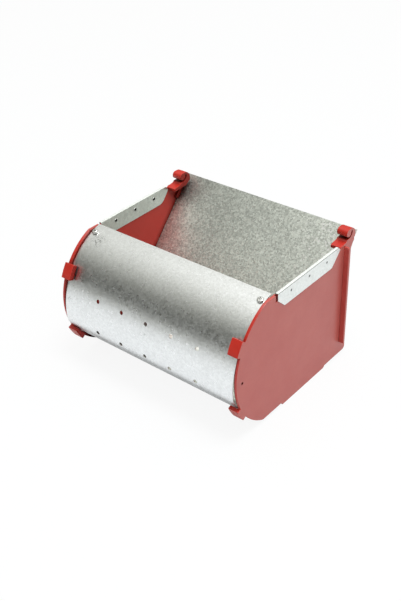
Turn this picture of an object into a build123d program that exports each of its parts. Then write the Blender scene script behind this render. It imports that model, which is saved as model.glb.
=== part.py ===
"""Hang-on rabbit feeder: a bent sheet trough between two moulded cheeks, in millimetres."""
import os
from build123d import *

# Cheeks, the two moulded ends; heights are above the feet
cheek_span = 250.0
wall = 2.4
outer_x = cheek_span / 2
inner_x = outer_x - wall
arc_center = (-29.7, 76.1)
arc_radius = 81.4
rim_thickness = 3.6
rim_depth = 3.0
rim_step = 0.3
rim_start = 113.0
rim_sweep = 126.5
nose_y = -45.1
nose_round = 1.5
nose_rim_front_y = -60.9
nose_rim_rear_y = -42.9
notch_rear_y = -42.2
notch_z = 143.0
top_edge_z = 151.4
top_rear_y = 68.4
skirt_z = 3.4
skirt_round = 10.0
foot_front_y = -30.0
foot_rear_y = 50.0
foot_ramp = 2.8
heel_z = 2.5
heel_round = 4.0
heel_y = 94.7
rear_bend_y = 95.6
rear_bend_z = 138.6
edge_round = 0.6

# Hook over the cage wire, moulded on the rear top corner of each cheek
hook_inner_x = 112.0
hook_center = (93.3, 154.3)
hook_radius = 9.8
nape_angle = -33.0
throat_angle = -20.0
throat_foot = (95.0, 146.6)
bulb_center = (89.8, 159.6)
bulb_radius = 4.5
slot_low_z = 152.7
slot_height = 2.4
slot_curl = 92.0
slot_foot_y = 94.0
tab_root = (72.5, 148.6)
tab_front_y = 73.6
tab_top_z = 149.2
tab_under_z = 145.6
tab_rise_y = 84.9
tab_rise_z = 150.9
slot_lip_y = 86.8

# Upright rib outside each cheek, which stops against the cage front
rib_y = 80.9
rib_thickness = 2.6
rib_out = 6.2
rib_low_z = 19.0
rib_top_z = 147.0
rib_round = 3.0

# Clips over the front of the sheet
clip_inner_x = 112.0
clip_outer_r = 86.4
clip_root_r = 79.5
clip_sweep = 12.0
clip_upper_start = 144.0
clip_upper_r = 80.1
clip_lower_start = 203.0
clip_lower_r = 81.9

# Trough sheet, as a run of bends from the front edge to the rear edge
sheet = 0.6
sheet_half = 120.6
panel_half = 122.2
front_radius = 78.7
front_start = 102.5
front_sweep = 39.5
belly_radius = 96.0
belly_sweep = 40.5
turn_radius = 21.8
turn_sweep = 30.0
slope_length = 10.0
under_radius = 30.0
under_sweep = 19.5
low_radius = 107.5
low_sweep = 38.0
floor_length = 4.9
back_radius = 15.0
back_angle = 47.25
back_length = 185.9
hole_pitch = 35.6
hole_radius = 2.4
hole_count = 5
punch_depth = 2.5
upper_row = (-106.3, 98.15)
upper_row_facing = 160.0
lower_row = (-111.86, 59.1)
lower_row_facing = 183.8

# Seats for the sheet inside each cheek
seat_gap = 0.15
seat_thickness = 2.2
seat_inner_x = 112.6
seat_rise = 154.0
ledge_thickness = 3.8
ledge_inner_x = 110.5
ledge_start = 106.0
ledge_sweep = 34.0
boss_radius = 4.0
boss_depth = 12.5
web_thickness = 3.0
lip_inner_x = 120.0
lip_drop = 10.7
lip_length = 23.8
lip_thickness = 5.3
lip_gap = 0.3

# Screws through the sheet into the ledge bosses
screw_x = 115.8
screw_angle = 111.5
screw_hole_radius = 2.0
shank_radius = 1.65
shank_length = 11.0
pilot_radius = 1.7
pilot_depth = 11.5
head_radius = 3.7
head_height = 2.6
head_round = 1.8
recess_span = 4.0
recess_width = 0.9
recess_depth = 1.2

# Metal channels folded over the top edges of the cheeks
strip_sheet = 0.5
strip_gap = 0.05
strip_front_y = -42.4
strip_front_z = 143.4
strip_low_z = 132.3
strip_low_front_y = -30.7
strip_low_rear_y = 56.5
strip_top_rear_y = 68.7
strip_tail = (72.9, 147.0)
strip_tail_foot_y = 60.8
strip_tail_round = 13.0
strip_fold_round = 0.45
pin_radius = 1.7
pin_z = 144.75
pin_ys = (-19.4, 13.4, 46.2)
dimple_radius = 0.9
dimple_depth = 0.25

# Small hole in each cheek near the foremost point of the arc
vent_radius = 1.4
vent_y = -101.5
vent_z = 76.2

os.makedirs("parts", exist_ok=True)
skirt_y = arc_center[0] - (arc_radius**2 - (arc_center[1] - skirt_z) ** 2) ** 0.5
nose_front_y = arc_center[0] - (arc_radius**2 - (top_edge_z - arc_center[1]) ** 2) ** 0.5
nape_point = Vector(*hook_center) + Vector(hook_radius, 0).rotate(Axis.Z, nape_angle)
throat_point = Vector(*hook_center) + Vector(hook_radius, 0).rotate(Axis.Z, throat_angle)
ledge_radius = front_radius - sheet - seat_gap
screw_side = Plane((screw_x, *arc_center), x_dir=(1, 0, 0), z_dir=(0, 0, 1)).rotated((screw_angle - 90, 0, 0))
strip_top_z = top_edge_z + strip_gap + strip_sheet
strip_inner_x = inner_x - strip_gap - strip_sheet
strip_outer_x = outer_x + strip_gap + strip_sheet

# Trough: front shell, floor and sloping back in one bent sheet
with BuildPart() as trough:
    with BuildSketch(Plane.YZ):
        with BuildLine():
            front = CenterArc(arc_center, front_radius, front_start, front_sweep)
            belly = JernArc(front @ 1, front % 1, belly_radius, belly_sweep)
            turn = JernArc(belly @ 1, belly % 1, turn_radius, turn_sweep)
            slope = PolarLine(turn @ 1, slope_length, direction=turn % 1)
            under = JernArc(slope @ 1, slope % 1, under_radius, under_sweep)
            low = JernArc(under @ 1, under % 1, low_radius, low_sweep)
            floor = PolarLine(low @ 1, floor_length, direction=low % 1)
            bend = JernArc(floor @ 1, floor % 1, back_radius, back_angle)
            PolarLine(bend @ 1, back_length, direction=bend % 1)
            offset(amount=sheet, side=Side.LEFT)
        make_face()
    extrude(amount=sheet_half, both=True)
    # The sloping back is cut wider than the front, close to the cheeks
    with BuildSketch(Plane.YZ):
        with BuildLine():
            back = PolarLine(bend @ 1, back_length, direction=bend % 1)
            offset(amount=sheet, side=Side.LEFT)
        make_face()
    extrude(amount=panel_half, both=True)
    for row, facing in ((upper_row, upper_row_facing), (lower_row, lower_row_facing)):
        row_plane = Plane((0, *row), x_dir=(1, 0, 0), z_dir=(0, 0, 1)).rotated((facing - 90, 0, 0))
        with BuildSketch(row_plane):
            with GridLocations(hole_pitch, 1, hole_count, 1):
                Circle(hole_radius)
        extrude(amount=punch_depth, both=True, mode=Mode.SUBTRACT)
    with BuildSketch(screw_side.offset(front_radius)):
        with Locations((0, 0), (-2 * screw_x, 0)):
            Circle(screw_hole_radius)
    extrude(amount=punch_depth, both=True, mode=Mode.SUBTRACT)

# Cheek on the +X end
with BuildPart() as right_cheek:
    # Flat side plate with round front, nose and notch, feet and upright rear edge
    with BuildSketch(Plane.YZ.offset(inner_x)) as plate:
        with BuildLine():
            foremost = (arc_center[0] - arc_radius, arc_center[1])
            rim = ThreePointArc((skirt_y, skirt_z), foremost, (nose_front_y, top_edge_z))
            Polyline(
                rim @ 1,
                (nose_y, top_edge_z),
                (nose_y, notch_z),
                (notch_rear_y, notch_z),
                (notch_rear_y, top_edge_z),
                (top_rear_y, top_edge_z),
                tab_root,
                (slot_lip_y, tab_root[1]),
                (slot_foot_y, slot_low_z - slot_height),
                nape_point,
                (rear_bend_y, rear_bend_z),
                (heel_y, heel_z),
                (foot_rear_y + foot_ramp, heel_z),
                (foot_rear_y, 0),
                (foot_front_y, 0),
                (foot_front_y - foot_ramp, skirt_z),
                rim @ 0,
            )
        make_face()
        fillet(plate.vertices().sort_by_distance((nose_y, top_edge_z))[0], nose_round)
        fillet(plate.vertices().sort_by_distance((skirt_y, skirt_z))[0], skirt_round)
        fillet(plate.vertices().sort_by_distance((heel_y, heel_z))[0], heel_round)
    extrude(amount=wall)
    outer_arcs = right_cheek.faces().sort_by(Axis.X)[-1].edges().filter_by(GeomType.CIRCLE)
    fillet(outer_arcs.sort_by(SortBy.LENGTH)[-1], edge_round)
    # Thicker rim along the round front and the flat nose, and across the inside of the notch
    with BuildSketch(Plane.YZ.offset(outer_x - rim_thickness)):
        with BuildLine():
            rim_out = CenterArc(arc_center, arc_radius - rim_step, rim_start, rim_sweep)
            rim_in = CenterArc(arc_center, arc_radius - rim_depth, rim_start, rim_sweep)
            Line(rim_out @ 0, rim_in @ 0)
            Line(rim_out @ 1, rim_in @ 1)
        make_face()
        with Locations((nose_rim_front_y, top_edge_z - rim_step)):
            nose_rim_length = nose_rim_rear_y - nose_rim_front_y
            Rectangle(nose_rim_length, rim_depth - rim_step, align=(Align.MIN, Align.MAX))
    extrude(amount=rim_thickness - wall)
    # Hook with its tab and the wire slot, which curls up behind the bulb
    with BuildSketch(Plane.YZ.offset(hook_inner_x)):
        with BuildLine():
            tab_start = (tab_front_y, tab_top_z)
            lip = (slot_lip_y, slot_low_z)
            Polyline(tab_start, (tab_rise_y, tab_rise_z), lip, (bulb_center[0], slot_low_z))
            slot_out = CenterArc(bulb_center, bulb_center[1] - slot_low_z, -90, slot_curl)
            slot_in = CenterArc(bulb_center, bulb_radius, -90, slot_curl)
            slot_end = (slot_out @ 1 + slot_in @ 1) / 2 + (slot_out % 1) * slot_height / 2
            ThreePointArc(slot_out @ 1, slot_end, slot_in @ 1)
            bulb_front = (bulb_center[0] - bulb_radius, bulb_center[1])
            bulb = ThreePointArc(slot_in @ 0, bulb_front, (bulb_center[0], bulb_center[1] + bulb_radius))
            crown = Line(bulb @ 1, (hook_center[0], hook_center[1] + hook_radius))
            hook_rear = (hook_center[0] + hook_radius, hook_center[1])
            nape = ThreePointArc(crown @ 1, hook_rear, throat_point)
            Polyline(nape @ 1, throat_foot, (tab_front_y, tab_under_z), tab_start)
        make_face()
    extrude(amount=outer_x - hook_inner_x)
    # Lip below the hook, in front of the sloping back
    with BuildSketch(Plane.YZ.offset(lip_inner_x)):
        up_panel = (back % 1).normalized()
        off_panel = up_panel.rotate(Axis.Z, 90)
        lip_back = back @ 1 - up_panel * (lip_drop + lip_length / 2)
        with Locations(lip_back + off_panel * (sheet + lip_gap + lip_thickness / 2)):
            Rectangle(lip_length, lip_thickness, rotation=back_angle)
    extrude(amount=inner_x - lip_inner_x)
    # Stop rib outside, with a round top
    with BuildSketch(Plane.XZ.offset(-rib_y)):
        with Locations((outer_x, rib_low_z)):
            rib_face = Rectangle(rib_out, rib_top_z - rib_low_z, align=(Align.MIN, Align.MIN))
        fillet(rib_face.vertices().group_by(Axis.X)[-1].sort_by(Axis.Y)[-1], rib_round)
    extrude(amount=-rib_thickness)
    # Clips, each with a tab reaching in over the sheet and a root on the rim
    for start, tab_r in ((clip_upper_start, clip_upper_r), (clip_lower_start, clip_lower_r)):
        for x, low_r in ((clip_inner_x, tab_r), (outer_x - rim_thickness, clip_root_r)):
            with BuildSketch(Plane.YZ.offset(x)):
                with BuildLine():
                    clip_out = CenterArc(arc_center, clip_outer_r, start, clip_sweep)
                    clip_in = CenterArc(arc_center, low_r, start, clip_sweep)
                    Line(clip_out @ 0, clip_in @ 0)
                    Line(clip_out @ 1, clip_in @ 1)
                make_face()
            extrude(amount=outer_x - x)
    # Ledge behind the front of the sheet
    with BuildSketch(Plane.YZ.offset(ledge_inner_x)):
        with BuildLine():
            ledge_out = CenterArc(arc_center, ledge_radius, ledge_start, ledge_sweep)
            ledge_in = CenterArc(arc_center, ledge_radius - ledge_thickness, ledge_start, ledge_sweep)
            Line(ledge_out @ 0, ledge_in @ 0)
            Line(ledge_out @ 1, ledge_in @ 1)
        make_face()
    extrude(amount=inner_x - ledge_inner_x)
    # Screw boss, with a web to the plate and a pilot hole
    with BuildSketch(screw_side.offset(ledge_radius - sheet)):
        Circle(boss_radius)
        Rectangle(inner_x - screw_x, web_thickness, align=(Align.MIN, Align.CENTER))
    extrude(amount=-boss_depth)
    with BuildSketch(screw_side.offset(ledge_radius + sheet)):
        Circle(pilot_radius)
    extrude(amount=-pilot_depth, mode=Mode.SUBTRACT)
    # Seat under the floor and behind the sloping back
    with BuildSketch(Plane.YZ.offset(seat_inner_x)):
        with BuildLine():
            seat_floor = PolarLine(low @ 1 - (0, seat_gap), floor_length, direction=(1, 0))
            seat_bend = JernArc(seat_floor @ 1, (1, 0), back_radius + seat_gap, back_angle)
            PolarLine(seat_bend @ 1, seat_rise, direction=seat_bend % 1)
            offset(amount=seat_thickness, side=Side.RIGHT)
        make_face()
    extrude(amount=inner_x - seat_inner_x)
    # Pin holes under the metal channel and the vent hole
    with BuildSketch(Plane.YZ.offset(inner_x)):
        with Locations([(y, pin_z) for y in pin_ys]):
            Circle(pin_radius)
        with Locations((vent_y, vent_z)):
            Circle(vent_radius)
    extrude(amount=wall, mode=Mode.SUBTRACT)

# Cheek on the -X end
with BuildPart() as left_cheek:
    mirror(right_cheek.part, about=Plane.YZ)

# Metal channel on the +X cheek: two legs and a fold, pierced inside and dimpled outside
with BuildPart() as right_edge_strip:
    with BuildSketch(Plane.YZ.offset(strip_inner_x)) as leg:
        with BuildLine():
            Polyline(
                (strip_front_y, strip_top_z),
                (strip_front_y, strip_front_z),
                (strip_low_front_y, strip_low_z),
                (strip_tail_foot_y, strip_low_z),
                strip_tail,
                (strip_top_rear_y, strip_top_z),
                close=True,
            )
        make_face()
        fillet(leg.vertices().sort_by_distance((strip_tail_foot_y, strip_low_z))[0], strip_tail_round)
    extrude(amount=strip_outer_x - strip_inner_x)
    fillet(right_edge_strip.faces().sort_by(Axis.Z)[-1].edges().filter_by(Axis.Y), strip_fold_round)
    with BuildSketch(Plane.XZ.offset(-strip_tail[0])):
        with Locations((inner_x - strip_gap, top_edge_z + strip_gap)):
            Rectangle(wall + 2 * strip_gap, top_edge_z - strip_low_z + 1, align=(Align.MIN, Align.MAX))
    extrude(amount=strip_tail[0] - strip_front_y, mode=Mode.SUBTRACT)
    # The outer leg ends sooner at the rear than the inner one
    with BuildSketch(Plane.YZ.offset(strip_inner_x + strip_sheet)):
        with BuildLine():
            Polyline(
                (strip_low_rear_y, strip_low_z),
                (strip_tail[0], strip_low_z),
                (strip_tail[0], strip_top_z),
                (strip_top_rear_y, strip_top_z),
                close=True,
            )
        make_face()
    extrude(amount=strip_outer_x - strip_inner_x - strip_sheet, mode=Mode.SUBTRACT)
    pierced = (strip_inner_x, strip_sheet, pin_radius)
    dimpled = (strip_outer_x, -dimple_depth, dimple_radius)
    for x, depth, radius in (pierced, dimpled):
        with BuildSketch(Plane.YZ.offset(x)):
            with Locations([(y, pin_z) for y in pin_ys]):
                Circle(radius)
        extrude(amount=depth, mode=Mode.SUBTRACT)

# Metal channel on the -X cheek
with BuildPart() as left_edge_strip:
    mirror(right_edge_strip.part, about=Plane.YZ)

# Pan-head screws, one per cheek
with BuildPart() as right_screw:
    with BuildSketch(screw_side.offset(front_radius)):
        Circle(head_radius)
    extrude(amount=head_height)
    fillet(right_screw.faces().sort_by(Axis.Z)[-1].edges(), head_round)
    with BuildSketch(screw_side.offset(front_radius)):
        Circle(shank_radius)
    extrude(amount=-shank_length)
    with BuildSketch(screw_side.offset(front_radius + head_height)):
        Rectangle(recess_span, recess_width)
        Rectangle(recess_width, recess_span)
    extrude(amount=-recess_depth, mode=Mode.SUBTRACT)
with BuildPart() as screws:
    add(right_screw.part)
    mirror(right_screw.part, about=Plane.YZ)

trough.part.label = "trough"
right_cheek.part.label = "right_cheek"
left_cheek.part.label = "left_cheek"
right_edge_strip.part.label = "right_edge_strip"
left_edge_strip.part.label = "left_edge_strip"
screws.part.label = "screws"
export_step(trough.part, "parts/trough.step")
export_step(right_cheek.part, "parts/right_cheek.step")
export_step(left_cheek.part, "parts/left_cheek.step")
export_step(right_edge_strip.part, "parts/right_edge_strip.step")
export_step(left_edge_strip.part, "parts/left_edge_strip.step")
export_step(screws.part, "parts/screws.step")
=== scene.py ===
"""Looks of the hang-on rabbit feeder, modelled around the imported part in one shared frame."""
import math

import bpy
from mathutils import Matrix, Vector


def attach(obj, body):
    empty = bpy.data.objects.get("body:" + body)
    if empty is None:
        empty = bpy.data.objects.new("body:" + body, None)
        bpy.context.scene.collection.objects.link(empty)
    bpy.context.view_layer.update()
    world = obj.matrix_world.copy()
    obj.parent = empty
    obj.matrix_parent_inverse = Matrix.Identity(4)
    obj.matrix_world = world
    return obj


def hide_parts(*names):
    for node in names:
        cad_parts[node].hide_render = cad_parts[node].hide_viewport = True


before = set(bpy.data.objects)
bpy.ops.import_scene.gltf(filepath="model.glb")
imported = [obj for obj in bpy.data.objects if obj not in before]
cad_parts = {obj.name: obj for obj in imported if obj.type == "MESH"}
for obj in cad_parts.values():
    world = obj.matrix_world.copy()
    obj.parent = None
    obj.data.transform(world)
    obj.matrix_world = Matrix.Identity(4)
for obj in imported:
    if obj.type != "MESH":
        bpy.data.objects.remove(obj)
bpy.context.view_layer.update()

MM = 0.001

# How finely forms are modelled: lengths in millimetres, angles in degrees
MERGE_GAP = 0.01
NEAR = 0.1
SQUARE_ON = 0.9
EDGE_ROUND = 0.5
SMALL_EDGE_ROUND = 0.4
RIM_EDGE_ROUND = 0.35
EDGE_SEGMENTS = 2
SHARP_FROM = 30.0
SMOOTH_UP_TO = 35.0
SMALL_ROUND = 10.0
SMALL_ROUND_STEP = 12.0
LARGE_ROUND_STEP = 2.0
CHEEK_ARC_STEP = 1.86
ROUND_SIDES = 24
SCREW_SIDES = 32
CUT_PAST = 1.0

# Rotation that lays a round solid along X
ACROSS = (0, math.radians(90), 0)

# Cheeks, in millimetres as in the part's source; pairs are (y, z)
OUTER_X = 125.0
INNER_X = 122.6
ARC_CENTER = (-29.7, 76.1)
ARC_RADIUS = 81.4
NOSE_Y = -45.1
NOSE_ROUND = 1.5
NOTCH_REAR_Y = -42.2
NOTCH_Z = 143.0
TOP_EDGE_Z = 151.4
TOP_REAR_Y = 68.4
SKIRT_Z = 3.4
SKIRT_ROUND = 10.0
FOOT_FRONT_Y = -30.0
FOOT_REAR_Y = 50.0
FOOT_RAMP = 2.8
HEEL_Z = 2.5
HEEL_ROUND = 4.0
HEEL_Y = 94.7
REAR_BEND = (95.6, 138.6)
RIM_INNER_X = 121.4
RIM_OUT_R = 81.1
RIM_IN_R = 78.4
RIM_START = 113.0
RIM_SWEEP = 126.5
NOSE_RIM_LOW = (-60.9, 148.4)
NOSE_RIM_HIGH = (-42.9, 151.1)

# Hook over the cage wire
HOOK_INNER_X = 112.0
HOOK_CENTER = (93.3, 154.3)
HOOK_RADIUS = 9.8
NAPE_ANGLE = -33.0
THROAT_ANGLE = -20.0
THROAT_FOOT = (95.0, 146.6)
BULB_CENTER = (89.8, 159.6)
BULB_RADIUS = 4.5
SLOT_LOW_Z = 152.7
SLOT_HEIGHT = 2.4
SLOT_CURL = 92.0
SLOT_FOOT_Y = 94.0
SLOT_LIP_Y = 86.8
TAB_ROOT = (72.5, 148.6)
TAB_FRONT_Y = 73.6
TAB_TOP_Z = 149.2
TAB_UNDER_Z = 145.6
TAB_RISE = (84.9, 150.9)

# Stop rib, clips as (start in degrees, tab radius), ledge, boss, seat and panel lip of a cheek;
# they run into its plate as far as SUNK_X
SUNK_X = INNER_X + 1.0
RIM_SUNK_X = OUTER_X - 1.0
RIB_Y = 80.9
RIB_THICKNESS = 2.6
RIB_OUT_X = 131.2
RIB_LOW_Z = 19.0
RIB_TOP_Z = 147.0
RIB_ROUND = 3.0
RIB_ROUND_SEGMENTS = 6
CLIP_INNER_X = 112.0
CLIP_OUT_R = 86.4
CLIP_ROOT_R = 79.5
CLIP_SWEEP = 12.0
CLIPS = ((144.0, 80.1), (203.0, 81.9))
LEDGE_INNER_X = 110.5
LEDGE_OUT_R = 77.95
LEDGE_IN_R = 74.15
LEDGE_START = 106.0
LEDGE_SWEEP = 34.0
BOSS_RADIUS = 4.0
BOSS_TOP_R = 77.3
BOSS_DEPTH = 12.5
WEB_THICKNESS = 3.0
WEB_INSET = 0.5
SEAT_INNER_X = 112.6
SEAT_GAP = 0.15
SEAT_THICKNESS = 2.2
SEAT_RISE = 154.0
SEAT_BEND_STEPS = 8
LIP_INNER_X = 120.0
LIP_DROP = 10.7
LIP_LENGTH = 23.8
LIP_THICKNESS = 5.3
LIP_GAP = 0.3

# Trough sheet from the front edge to the rear edge: bends as (radius, degrees), straights as (length,),
# and rows of holes as (place, facing in degrees)
SHEET = 0.6
SHEET_HALF = 120.6
PANEL_HALF = 122.2
FRONT_RADIUS = 78.7
FRONT_START = 102.5
FRONT_RUN = ((FRONT_RADIUS, 39.5), (96.0, 40.5), (21.8, 30.0), (10.0,), (30.0, 19.5), (107.5, 38.0))
FLOOR_LENGTH = 4.9
BACK_BEND = (15.0, 47.25)
BACK_LENGTH = 185.9
SHEET_GRID = 4.0
BEND_STEPS_LEAST = 6
SHEET_WAVE = 0.25
WAVE_SPAN = 55.0
WAVE_LEVEL = 0.8
PUNCH_LENGTH = 6.0
HOLE_XS = (-71.2, -35.6, 0.0, 35.6, 71.2)
HOLE_RADIUS = 2.4
HOLE_ROWS = (((-106.3, 98.15), 160.0), ((-111.86, 59.1), 183.8))

# Screws
SCREW_X = 115.8
SCREW_ANGLE = 111.5
SCREW_HOLE_RADIUS = 2.0
HEAD_RADIUS = 3.7
HEAD_HEIGHT = 2.6
HEAD_ROUND = 1.3
HEAD_ROUND_ANGLES = (60, 30, 0)
SHANK_RADIUS = 1.65
SHANK_LENGTH = 11.0
SHANK_TIP = 2.0
RECESS_SPAN = 4.0
RECESS_WIDTH = 0.9
RECESS_DEPTH = 1.2
RECESS_TURN = 20.0

# Metal channels on the top edges of the cheeks
STRIP_SHEET = 0.5
STRIP_INNER_X = 122.05
STRIP_OUTER_X = 125.55
STRIP_TOP_Z = 151.95
STRIP_LOW_Z = 132.3
STRIP_FRONT = (-42.4, 143.4)
STRIP_LOW_FRONT_Y = -30.7
STRIP_LOW_REAR_Y = 56.5
STRIP_TOP_REAR_Y = 68.7
STRIP_TAIL = (72.9, 147.0)
STRIP_TAIL_FOOT_Y = 60.8
STRIP_TAIL_ROUND = 13.0
STRIP_FOLD_ROUND = 0.45
STRIP_FOLD_SEGMENTS = 4
PIN_Z = 144.75
PIN_YS = (-19.4, 13.4, 46.2)
PIN_RADIUS = 1.7
PIN_CUT_LENGTH = 8.0
PIERCED_RADIUS = 1.8
PIERCED_CUT_LENGTH = 2.0
BURR_FOOT_RADIUS = 2.0
BURR_RADIUS = 2.6
BURR_RISE = 0.45
DIMPLE_RADIUS = 0.9
DIMPLE_DEPTH = 0.4
VENT = (-101.5, 76.2)
VENT_RADIUS = 1.4


def mm(*values):
    """Millimetres to metres."""
    return tuple(value * MM for value in values)


def polar(center, radius, degrees):
    """The point (y, z) at an angle round a centre."""
    angle = math.radians(degrees)
    return center[0] + radius * math.cos(angle), center[1] + radius * math.sin(angle)


# Modelling steps

def start(name, point):
    """A new piece of one vertex, left in edit mode."""
    bpy.ops.object.select_all(action="DESELECT")
    bpy.ops.mesh.primitive_plane_add(size=MM)
    piece = bpy.context.object
    piece.name = name
    piece.data.name = name
    bpy.ops.object.mode_set(mode="EDIT")
    bpy.ops.mesh.select_mode(type="VERT")
    bpy.ops.mesh.merge(type="CENTER")
    bpy.ops.transform.translate(value=mm(*point))
    return piece


def run(dx, dy, dz):
    """Draws what is selected out in a straight line."""
    bpy.ops.mesh.extrude_region_move(TRANSFORM_OT_translate={"value": mm(dx, dy, dz)})


def turn(center, degrees, steps):
    """Draws what is selected round a line along X, counter-clockwise as seen from +X."""
    bpy.ops.mesh.spin(steps=steps, angle=math.radians(degrees), center=mm(0, *center), axis=(-1, 0, 0))


def pick(piece, kind, wanted):
    """Leaves a piece in edit mode with only the faces or edges selected that are wanted."""
    bpy.ops.object.mode_set(mode="EDIT")
    bpy.ops.mesh.select_mode(type=kind)
    bpy.ops.mesh.select_all(action="DESELECT")
    bpy.ops.object.mode_set(mode="OBJECT")
    for item in piece.data.polygons if kind == "FACE" else piece.data.edges:
        item.select = wanted(item)
    bpy.ops.object.mode_set(mode="EDIT")


def close_up(piece):
    """Merges doubles, points the faces outwards and leaves edit mode."""
    bpy.ops.mesh.select_all(action="SELECT")
    bpy.ops.mesh.remove_doubles(threshold=MERGE_GAP * MM)
    bpy.ops.mesh.normals_make_consistent(inside=False)
    bpy.ops.object.mode_set(mode="OBJECT")
    return piece


def apply_modifier(piece, kind, **settings):
    """Adds one modifier and applies it."""
    modifier = piece.modifiers.new(kind, kind)
    for name, value in settings.items():
        setattr(modifier, name, value)
    bpy.context.view_layer.objects.active = piece
    bpy.ops.object.modifier_apply(modifier=modifier.name)


def soften(piece, width=EDGE_ROUND):
    """Rounds the sharp edges."""
    apply_modifier(
        piece, "BEVEL", width=width * MM, segments=EDGE_SEGMENTS, limit_method="ANGLE",
        angle_limit=math.radians(SHARP_FROM), use_clamp_overlap=True,
    )
    return piece


def combine(piece, other, operation):
    """Joins another solid to the piece, or cuts it away."""
    apply_modifier(piece, "BOOLEAN", operation=operation, solver="EXACT", object=other)
    bpy.data.objects.remove(other)
    return piece


def plate(name, x, thickness, outline):
    """A flat solid. The outline has points (y, z), and turns as (centre, degrees)."""
    here = outline[0]
    piece = start(name, (x, *here))
    for step in outline[1:]:
        if isinstance(step[0], tuple):
            center, degrees = step
            radius = math.dist(here, center)
            angle = math.degrees(math.atan2(here[1] - center[1], here[0] - center[0]))
            step_degrees = LARGE_ROUND_STEP if radius > SMALL_ROUND else SMALL_ROUND_STEP
            turn(center, degrees, max(2, round(abs(degrees) / step_degrees)))
            here = polar(center, radius, angle + degrees)
        else:
            run(0, step[0] - here[0], step[1] - here[1])
            here = step
    bpy.ops.mesh.select_all(action="SELECT")
    bpy.ops.mesh.remove_doubles(threshold=MERGE_GAP * MM)
    bpy.ops.mesh.edge_face_add()
    run(thickness, 0, 0)
    return close_up(piece)


def bar(name, section, path):
    """A bar drawn along runs and turns. The section has points (x, y, z)."""
    piece = start(name, section[0])
    for here, there in zip(section, section[1:]):
        run(*[b - a for a, b in zip(here, there)])
    bpy.ops.mesh.select_all(action="SELECT")
    bpy.ops.mesh.edge_face_add()
    bpy.ops.mesh.delete(type="ONLY_FACE")
    bpy.ops.mesh.select_all(action="SELECT")
    for step in path:
        if isinstance(step[0], tuple):
            turn(*step)
        else:
            run(0, *step)
    bpy.ops.mesh.select_all(action="SELECT")
    bpy.ops.mesh.fill_holes(sides=0)
    return close_up(piece)


def curved_bar(name, section, first, sweep):
    """A bar bent round the arc of the cheek. The section has points (x, radius)."""
    points = [(x, *polar(ARC_CENTER, radius, first)) for x, radius in section]
    return bar(name, points, [(ARC_CENTER, sweep, round(sweep / CHEEK_ARC_STEP))])


def oblong(low, high):
    """The four corners of a section from its lowest to its highest corner."""
    return [low, (high[0], low[1]), high, (low[0], high[1])]


def box(name, low, high):
    """A block between two corners."""
    bpy.ops.object.select_all(action="DESELECT")
    middle = [(a + b) / 2 for a, b in zip(low, high)]
    bpy.ops.mesh.primitive_cube_add(size=MM, location=mm(*middle))
    piece = bpy.context.object
    piece.name = name
    piece.data.name = name
    bpy.ops.object.mode_set(mode="EDIT")
    bpy.ops.transform.resize(value=[b - a for a, b in zip(low, high)])
    bpy.ops.object.mode_set(mode="OBJECT")
    bpy.ops.object.transform_apply(location=True, rotation=True, scale=True)
    return piece


def cones(name, places, radii, depth, rotation):
    """Round solids of one size at several points, tapered where the two radii differ."""
    pieces = []
    for place in places:
        bpy.ops.object.select_all(action="DESELECT")
        bpy.ops.mesh.primitive_cone_add(
            vertices=ROUND_SIDES, radius1=radii[0] * MM, radius2=radii[1] * MM, depth=depth * MM,
            location=mm(*place), rotation=rotation,
        )
        pieces.append(bpy.context.object)
    for piece in pieces:
        piece.select_set(True)
    bpy.ops.object.join()
    bpy.ops.object.transform_apply(location=True, rotation=True, scale=True)
    joined = bpy.context.object
    joined.name = name
    return joined


def twin(piece, name):
    """A copy of a right-hand piece, mirrored to the left-hand side."""
    bpy.ops.object.select_all(action="DESELECT")
    piece.select_set(True)
    bpy.context.view_layer.objects.active = piece
    bpy.ops.object.duplicate(linked=False)
    copy = bpy.context.object
    copy.name = name
    copy.data.name = name
    bpy.ops.object.mode_set(mode="EDIT")
    bpy.ops.mesh.select_all(action="SELECT")
    bpy.ops.transform.resize(value=(-1, 1, 1), center_override=(0, 0, 0))
    return close_up(copy)


def finish_piece(piece, node, material):
    """Shades a piece smooth, gives it its finish and puts it in the place of its CAD node."""
    bpy.ops.object.select_all(action="DESELECT")
    piece.select_set(True)
    bpy.context.view_layer.objects.active = piece
    bpy.ops.object.shade_smooth_by_angle(angle=math.radians(SMOOTH_UP_TO))
    apply_modifier(piece, "WEIGHTED_NORMAL", keep_sharp=True)
    piece.data.materials.clear()
    piece.data.materials.append(material)
    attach(piece, "root")
    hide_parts(node)


# Pieces

def after(here, facing, step):
    """The end and the facing of a bend or straight of the sheet that starts at a point."""
    if len(step) == 1:
        return polar(here, step[0], facing + 90), facing
    radius, degrees = step
    center = polar(here, -radius, facing)
    return polar(center, radius, facing + degrees), facing + degrees


def sheet_end(steps):
    """The point (y, z) where a run of the sheet ends."""
    here, facing = polar(ARC_CENTER, FRONT_RADIUS, FRONT_START), FRONT_START
    for step in steps:
        here, facing = after(here, facing, step)
    return here


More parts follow.
